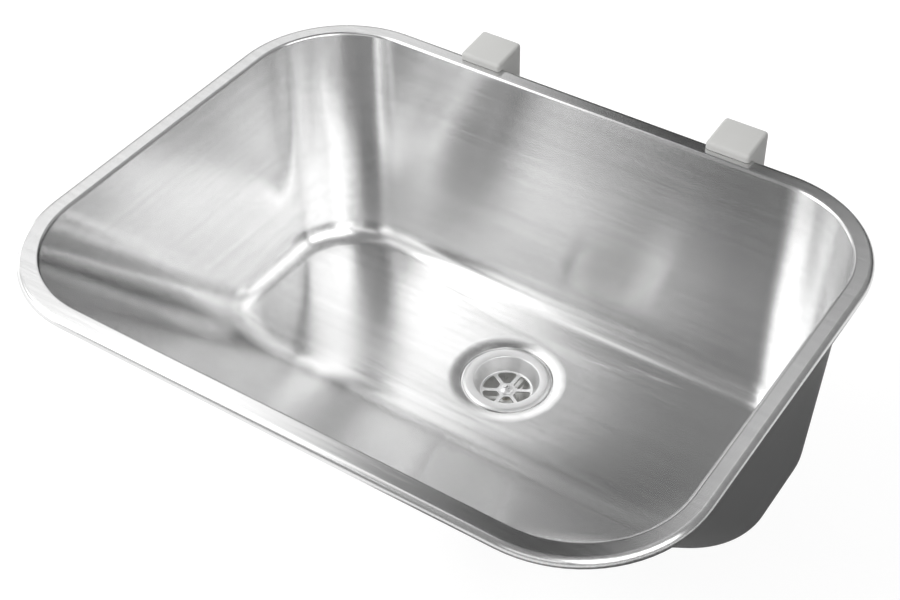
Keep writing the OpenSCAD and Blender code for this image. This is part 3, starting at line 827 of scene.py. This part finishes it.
def card(far, name, azimuth, elevation, half_wide, half_high, strength):
    """A card bent round the sink, so many metres away. All else but its strength is in
    degrees, seen from the sink: azimuth 0 is towards the wall and 90 to the right."""
    deselect()
    bpy.ops.mesh.primitive_grid_add(x_subdivisions=16, y_subdivisions=16, size=2)
    obj = bpy.context.object
    obj.name = obj.data.name = name
    wide, high = tan(radians(half_wide)), tan(radians(half_high))
    for vertex in obj.data.vertices:
        vertex.co = Vector((vertex.co.x * wide, vertex.co.y * high, -1)).normalized() * far
    obj.rotation_euler = (pi / 2 + radians(elevation), 0, -radians(azimuth))
    wear(obj, glow(name, strength, FADE))
    for_mirrors_only(obj)


# %% Floor: white paper, just under the tail pipe's end, and clear from below
FLOOR_Z, PAPER_WHITE = -0.316, 0.84
deselect()
bpy.ops.mesh.primitive_plane_add(size=24, location=(0, 0, FLOOR_Z))
floor = named("paper_floor")
paper = new_material("white_paper")
white = add(paper, "ShaderNodeMath", {0: seen_by_eye(paper).outputs[0], 1: PAPER_WHITE},
            operation="MULTIPLY")
shine = add(paper, "ShaderNodeEmission", {"Strength": white.outputs[0]})
matt = add(paper, "ShaderNodeBsdfDiffuse", {"Color": linear("#8A8A8A")})
both = add(paper, "ShaderNodeAddShader", {0: shine.outputs[0], 1: matt.outputs[0]})
seen_from = add(paper, "ShaderNodeNewGeometry")
clear = add(paper, "ShaderNodeBsdfTransparent")
finish_with(paper, add(paper, "ShaderNodeMixShader", {
    0: seen_from.outputs["Backfacing"], 1: both.outputs[0], 2: clear.outputs[0]}))
wear(floor, paper)

# %% Two soft lamps for the plastics, from above and from behind
for name, size, energy, spot in (("top_lamp", 1.4, 49, (-0.9, -1.3, 1.9)),
                                 ("rear_lamp", 1.0, 14, (-0.6, 1.6, 0.1))):
    lamp = bpy.data.lights.new(name, "AREA")
    lamp.size, lamp.energy = size, energy
    stand = bpy.data.objects.new(name, lamp)
    stand.location = spot
    stand.rotation_euler = Vector(spot).to_track_quat("Z", "Y").to_euler()
    stand.visible_glossy = False
    bpy.context.scene.collection.objects.link(stand)
    print(name, "of", size, "m and", energy, "W at", spot)

# %% The tent, a little lighter overhead
TENT_R = 8
deselect()
bpy.ops.mesh.primitive_uv_sphere_add(segments=48, ring_count=24, radius=TENT_R)
tent = named("dark_tent")
canvas = glow("tent_cloth", 0.3, 0)
place_in_tent = add(canvas, "ShaderNodeTexCoord")
height = add(canvas, "ShaderNodeSeparateXYZ", {0: place_in_tent.outputs["Object"]})
shade = add(canvas, "ShaderNodeMapRange", {"Value": height.outputs["Z"], "From Max": TENT_R,
                                           "To Min": 0.24, "To Max": 0.38})
canvas.node_tree.links.new(shade.outputs[0], canvas.node_tree.nodes["Emission"].inputs["Strength"])
wear(tent, canvas)
for_mirrors_only(tent)

# %% Cards and flags: azimuth, elevation, half width, half height, strength
CARDS_FAR, NEARER = 2.5, 0.02                     # metres; a later card lies in front
for count, settings in enumerate((
        ("high_left_card", -130, 87, 40, 18, 1.4), ("right_card", 112, 42, 31, 21, 2.6),
        ("left_card", -106, 32, 40, 36, 2.6), ("low_wall_flag", -3, 12, 42, 9, 0.0),
        ("wall_card", -28, 57, 18, 14, 1.1), ("front_card", 171, 29, 19, 10, 1.4),
        ("front_strip", -163, 65, 20, 7, 0.7), ("high_front_flag", -165, 75, 19, 37, 0.3),
        ("wall_flag", -19, 14, 12, 28, 0.0), ("low_left_flag", -103, 17, 14, 10, 0.6),
        ("high_wall_flag", -31, 59, 10, 16, 0.0), ("left_wall_card", -61, 32, 31, 16, 0.95)), 1):
    card(CARDS_FAR - NEARER * count, *settings)
print("cards and flags:", count)

# %% Painted shadow under the sink: a dark sheet, reaching far to its right, for the sink's own shadow
deselect()
bpy.ops.mesh.primitive_plane_add(size=1, location=(0.57, -0.08, FLOOR_Z + 0.5 * MM))
painted_floor_shadow = bpy.context.object
painted_floor_shadow.name = painted_floor_shadow.data.name = "painted_floor_shadow"
painted_floor_shadow.scale = (1.32, 1.02, 1)
# Painted shadow: a dark sheet that only mirror rays see, laid where the sink's own shadow falls on
# the floor.
wear(painted_floor_shadow, glow("painted_floor_shadow", 0.1, 0))
for_mirrors_only(painted_floor_shadow)
